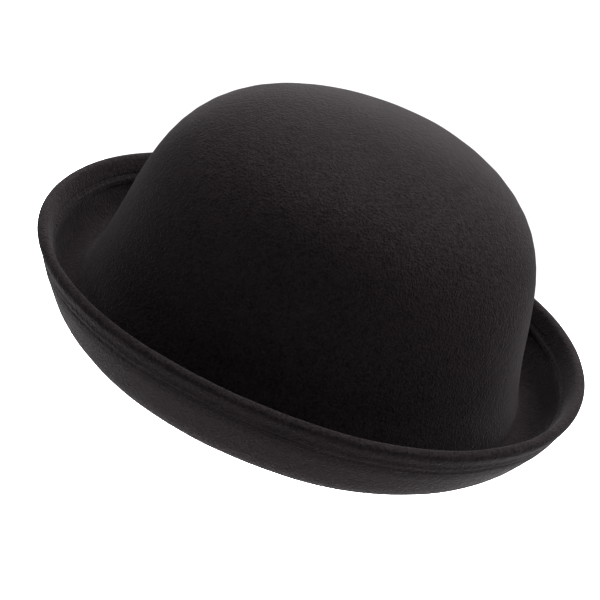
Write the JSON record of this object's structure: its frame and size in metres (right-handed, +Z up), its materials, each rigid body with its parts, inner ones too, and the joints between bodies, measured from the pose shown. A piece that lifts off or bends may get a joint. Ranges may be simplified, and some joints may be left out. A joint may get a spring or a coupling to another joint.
{
  "type": "bowler hat",
  "caption": "Felt bowler hat with a tall round crown, a rolled brim with a turned and stitched edge, and an adjustable sweatband inside.",
  "frame": {"origin": "centre of the bounding box in plan, at the height of the surface that the hat stands on", "axes": "+Z up; the long axis runs front to back along Y, with the front towards -Y; +X is the wearer's left"},
  "size_m": [0.2142, 0.2644, 0.1252],
  "materials": {
    "felt": "matte wool felt",
    "wire": "bright drawn",
    "thread": "spun thread",
    "ribbon": "ribbed grosgrain",
    "tape": "woven elastic",
    "loop_tape": "brushed loop pile",
    "hook_tape": "woven nylon with hooks",
    "label": "damask woven",
    "care_label": "satin"
  },
  "bodies": {
    "hat": {"felt_body": "felt", "brim_wire": "wire", "wire_joiner": "wire", "hem_needle_thread": "thread", "hem_bobbin_thread": "thread", "sweatband": "ribbon", "sweatband_thread": "thread", "size_tape": "tape", "loop_strip": "loop_tape", "woven_label": "label", "label_stitches_left": "thread", "label_stitches_right": "thread", "care_label": "care_label"},
    "size_adjuster": {"hook_strip": "hook_tape"}
  },
  "joints": [
    {"name": "size_adjust", "type": "hinge", "parent": "hat", "child": "size_adjuster", "pos_m": [0, 0.0167, 0.0225], "axis": [0, 0, 1], "range_deg": [-5, 9.5]}
  ]
}
